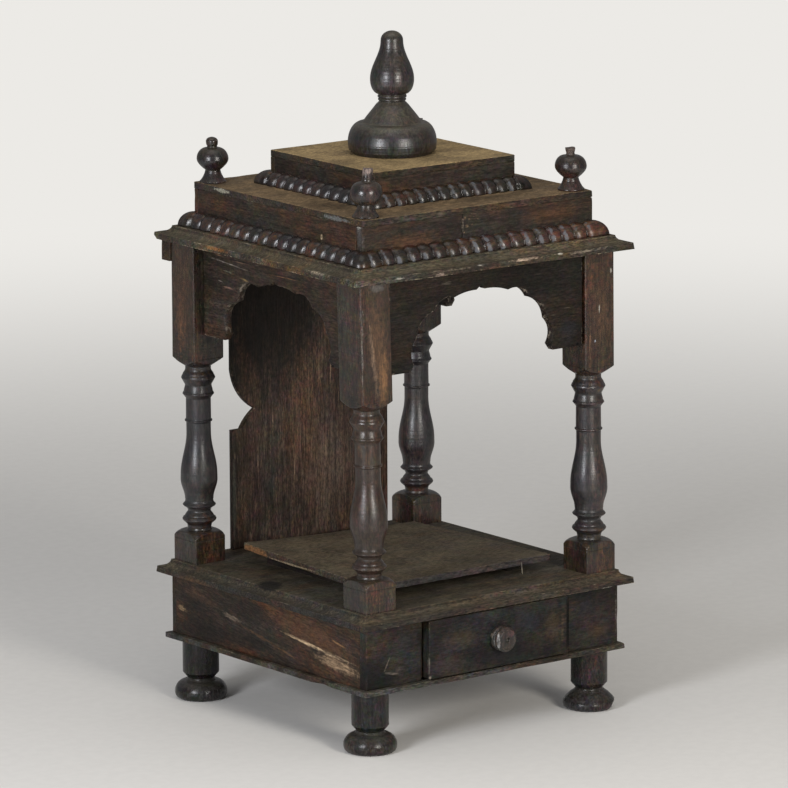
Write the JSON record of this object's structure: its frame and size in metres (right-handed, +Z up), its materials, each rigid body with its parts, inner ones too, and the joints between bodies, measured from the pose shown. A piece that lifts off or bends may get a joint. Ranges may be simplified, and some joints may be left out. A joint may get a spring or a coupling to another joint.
{
  "type": "home temple",
  "caption": "Small wooden household shrine: drawer case on turned feet, open shrine between turned columns under lobed arches, stepped roof with rope mouldings and turned finials.",
  "frame": {"origin": "on the ground, under the middle of the case", "axes": "+Z up, +X to the right when facing the drawer, -Y out of the front (the drawer slides out along -Y)"},
  "size_m": [0.3308, 0.3367, 0.643],
  "materials": {
    "dark_wood": "dark stained and polished, worn at the edges",
    "brown_wood": "reddish brown stain, satin, scratched",
    "dusty_wood": "dark stain under dust, dull",
    "raw_wood": "bare old wood, dull"
  },
  "bodies": {
    "temple": {"foot_front_left": "dark_wood", "foot_front_right": "dark_wood", "foot_back_left": "dark_wood", "foot_back_right": "dark_wood", "base_bottom_board": "dark_wood", "case_left_side": "brown_wood", "case_right_side": "brown_wood", "case_back": "brown_wood", "front_stile_left": "dark_wood", "front_stile_right": "dark_wood", "drawer_runners": "raw_wood", "drawer_guides": "raw_wood", "base_top_board": "dusty_wood", "floor_board": "dusty_wood", "floor_battens": "raw_wood", "column_front_left": "dark_wood", "column_front_right": "dark_wood", "column_back_left": "dark_wood", "column_back_right": "dark_wood", "arch_front": "dark_wood", "arch_left": "dark_wood", "arch_right": "dark_wood", "back_panel": "brown_wood", "back_rail": "brown_wood", "cornice_board": "dusty_wood", "lower_rope_moulding": "dark_wood", "lower_tier_front": "brown_wood", "lower_tier_back": "brown_wood", "lower_tier_sides": "brown_wood", "lower_tier_top": "dusty_wood", "upper_rope_moulding": "dark_wood", "upper_tier_front": "brown_wood", "upper_tier_back": "brown_wood", "upper_tier_sides": "brown_wood", "upper_tier_top": "dusty_wood", "kalash_finial": "dark_wood", "corner_finial_front_left": "dark_wood", "corner_finial_front_right": "dark_wood", "corner_finial_back_left": "dark_wood", "corner_finial_back_right": "dark_wood"},
    "drawer": {"drawer_front": "dark_wood", "drawer_sides": "raw_wood", "drawer_back": "raw_wood", "drawer_bottom": "raw_wood", "drawer_knob": "brown_wood"}
  },
  "joints": [
    {"name": "drawer_slide", "type": "slide", "parent": "temple", "child": "drawer", "axis": [0, -1, 0], "range_m": [-0.008, 0.18]}
  ]
}
